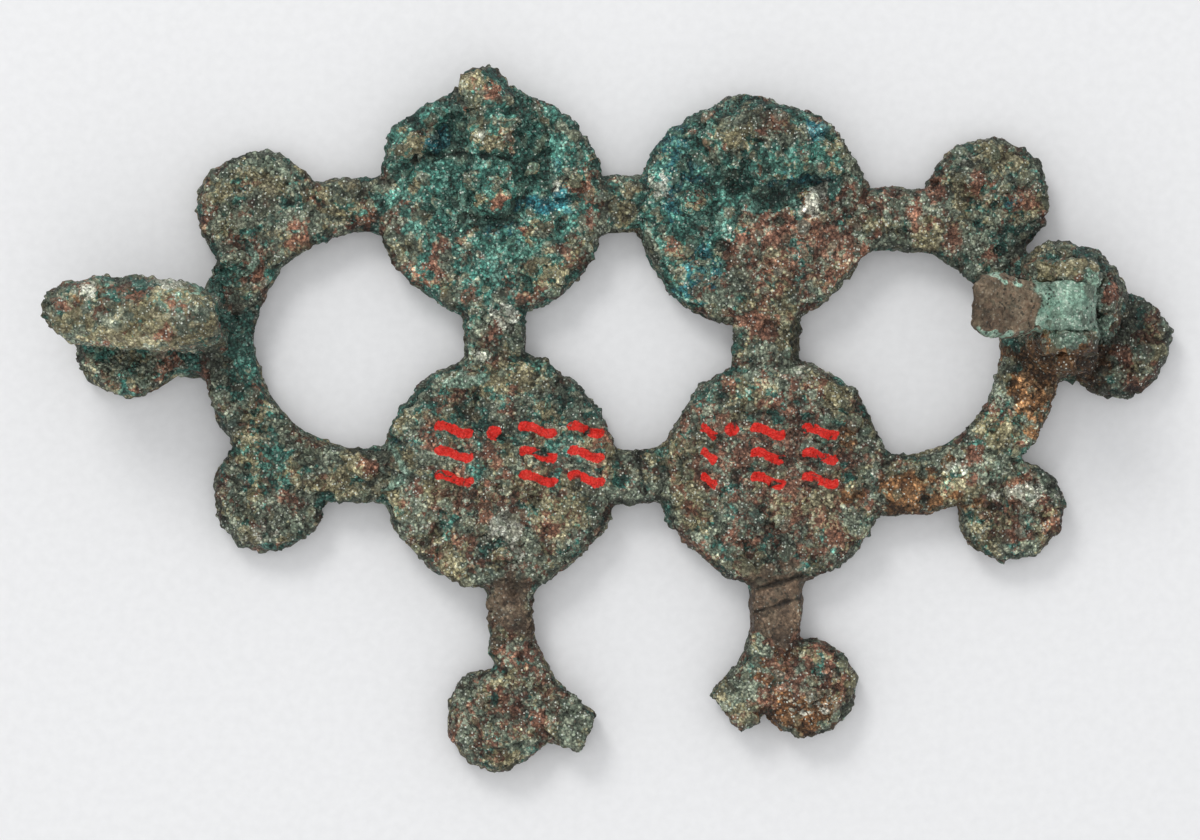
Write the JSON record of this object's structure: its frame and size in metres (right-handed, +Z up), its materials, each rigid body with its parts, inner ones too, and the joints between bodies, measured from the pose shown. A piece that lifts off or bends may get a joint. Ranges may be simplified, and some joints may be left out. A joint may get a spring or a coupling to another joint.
{
  "type": "openwork plate brooch",
  "caption": "Cast openwork plate brooch with enamelled discs and lobes, broken and corroded, lying on its front with catch and hinge up.",
  "frame": {"origin": "under the middle of the brooch, on the surface that it lies on", "axes": "+X along the row of rings, from the catch to the hinge; +Y from the two broken arms towards the upper discs; +Z up, out of the back"},
  "size_m": [0.045, 0.0284, 0.0081],
  "materials": {
    "copper_alloy": "rough green, brown and red corrosion crust",
    "pin_metal": "rough brown corrosion with pale green",
    "rusted_iron": "orange rust",
    "enamel_blue": "weathered opaque enamel",
    "enamel_red": "weathered opaque enamel"
  },
  "bodies": {
    "root": {"brooch_body": "copper_alloy", "pin_root": "pin_metal", "hinge_axle": "rusted_iron", "enamel_disc_upper_left": "enamel_blue", "enamel_disc_upper_right": "enamel_blue", "enamel_disc_lower_left": "enamel_blue", "enamel_disc_lower_right": "enamel_blue", "enamel_lobe_left_upper": "enamel_red", "enamel_lobe_left_lower": "enamel_red", "enamel_lobe_left_end": "enamel_red", "enamel_lobe_right_upper": "enamel_red", "enamel_lobe_right_lower": "enamel_red", "enamel_lobe_right_end": "enamel_red", "enamel_lobe_below_left": "enamel_red"}
  },
  "joints": []
}
